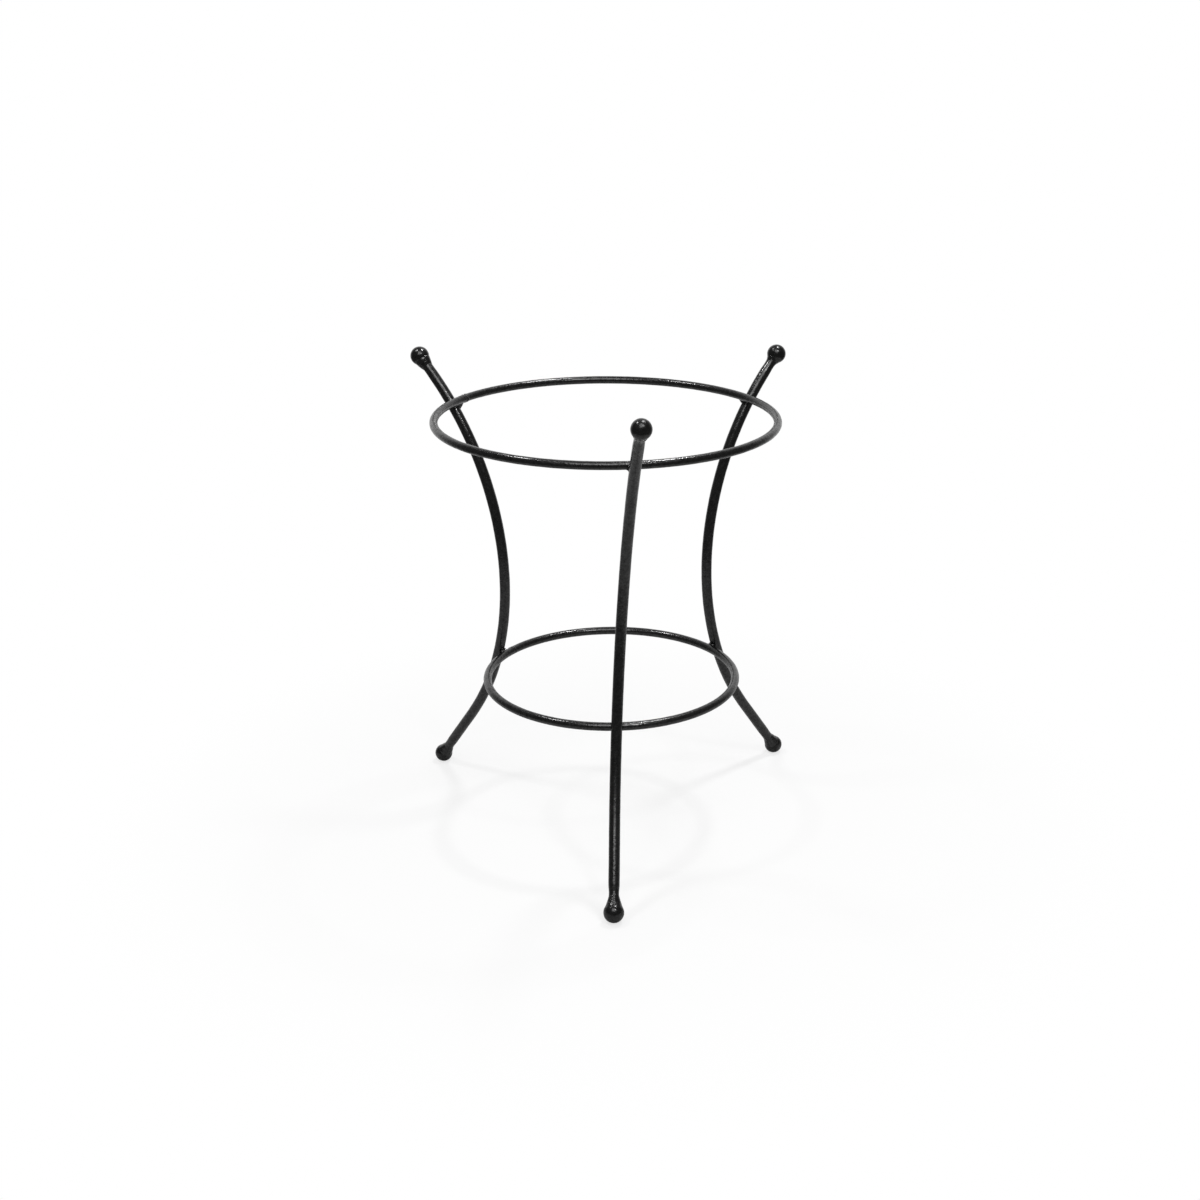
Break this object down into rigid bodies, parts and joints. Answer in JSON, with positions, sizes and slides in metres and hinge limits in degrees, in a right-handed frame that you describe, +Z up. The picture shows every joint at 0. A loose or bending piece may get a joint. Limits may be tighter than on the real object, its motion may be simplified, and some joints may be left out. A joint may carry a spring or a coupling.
{
  "type": "plant stand",
  "caption": "Low tripod plant stand in black painted steel rod: bowed legs with ball ends, joined by a larger top ring for the pot and a smaller lower ring.",
  "frame": {"origin": "on the common axis of the two rings, at floor level, where the three ball feet stand", "axes": "+Z up along the rings' axis; -Y towards the front leg, which the picture shows nearest; +X to the right as seen from the front"},
  "size_m": [0.2991, 0.3133, 0.3671],
  "materials": {
    "rod_paint": "satin-gloss black paint over lightly textured steel rod",
    "ball_paint": "gloss black paint over smooth steel balls",
    "weld_paint": "satin black paint over rough weld beads"
  },
  "bodies": {
    "root": {"leg_front": "rod_paint", "leg_left": "rod_paint", "leg_right": "rod_paint", "top_ring": "rod_paint", "lower_ring": "rod_paint", "finial_front": "ball_paint", "finial_left": "ball_paint", "finial_right": "ball_paint", "foot_front": "ball_paint", "foot_left": "ball_paint", "foot_right": "ball_paint", "finial_weld_front": "weld_paint", "finial_weld_left": "weld_paint", "finial_weld_right": "weld_paint", "foot_weld_front": "weld_paint", "foot_weld_left": "weld_paint", "foot_weld_right": "weld_paint", "top_weld_front": "weld_paint", "top_weld_left": "weld_paint", "top_weld_right": "weld_paint", "lower_weld_front": "weld_paint", "lower_weld_left": "weld_paint", "lower_weld_right": "weld_paint", "top_ring_butt_weld": "weld_paint", "lower_ring_butt_weld": "weld_paint"}
  },
  "joints": []
}
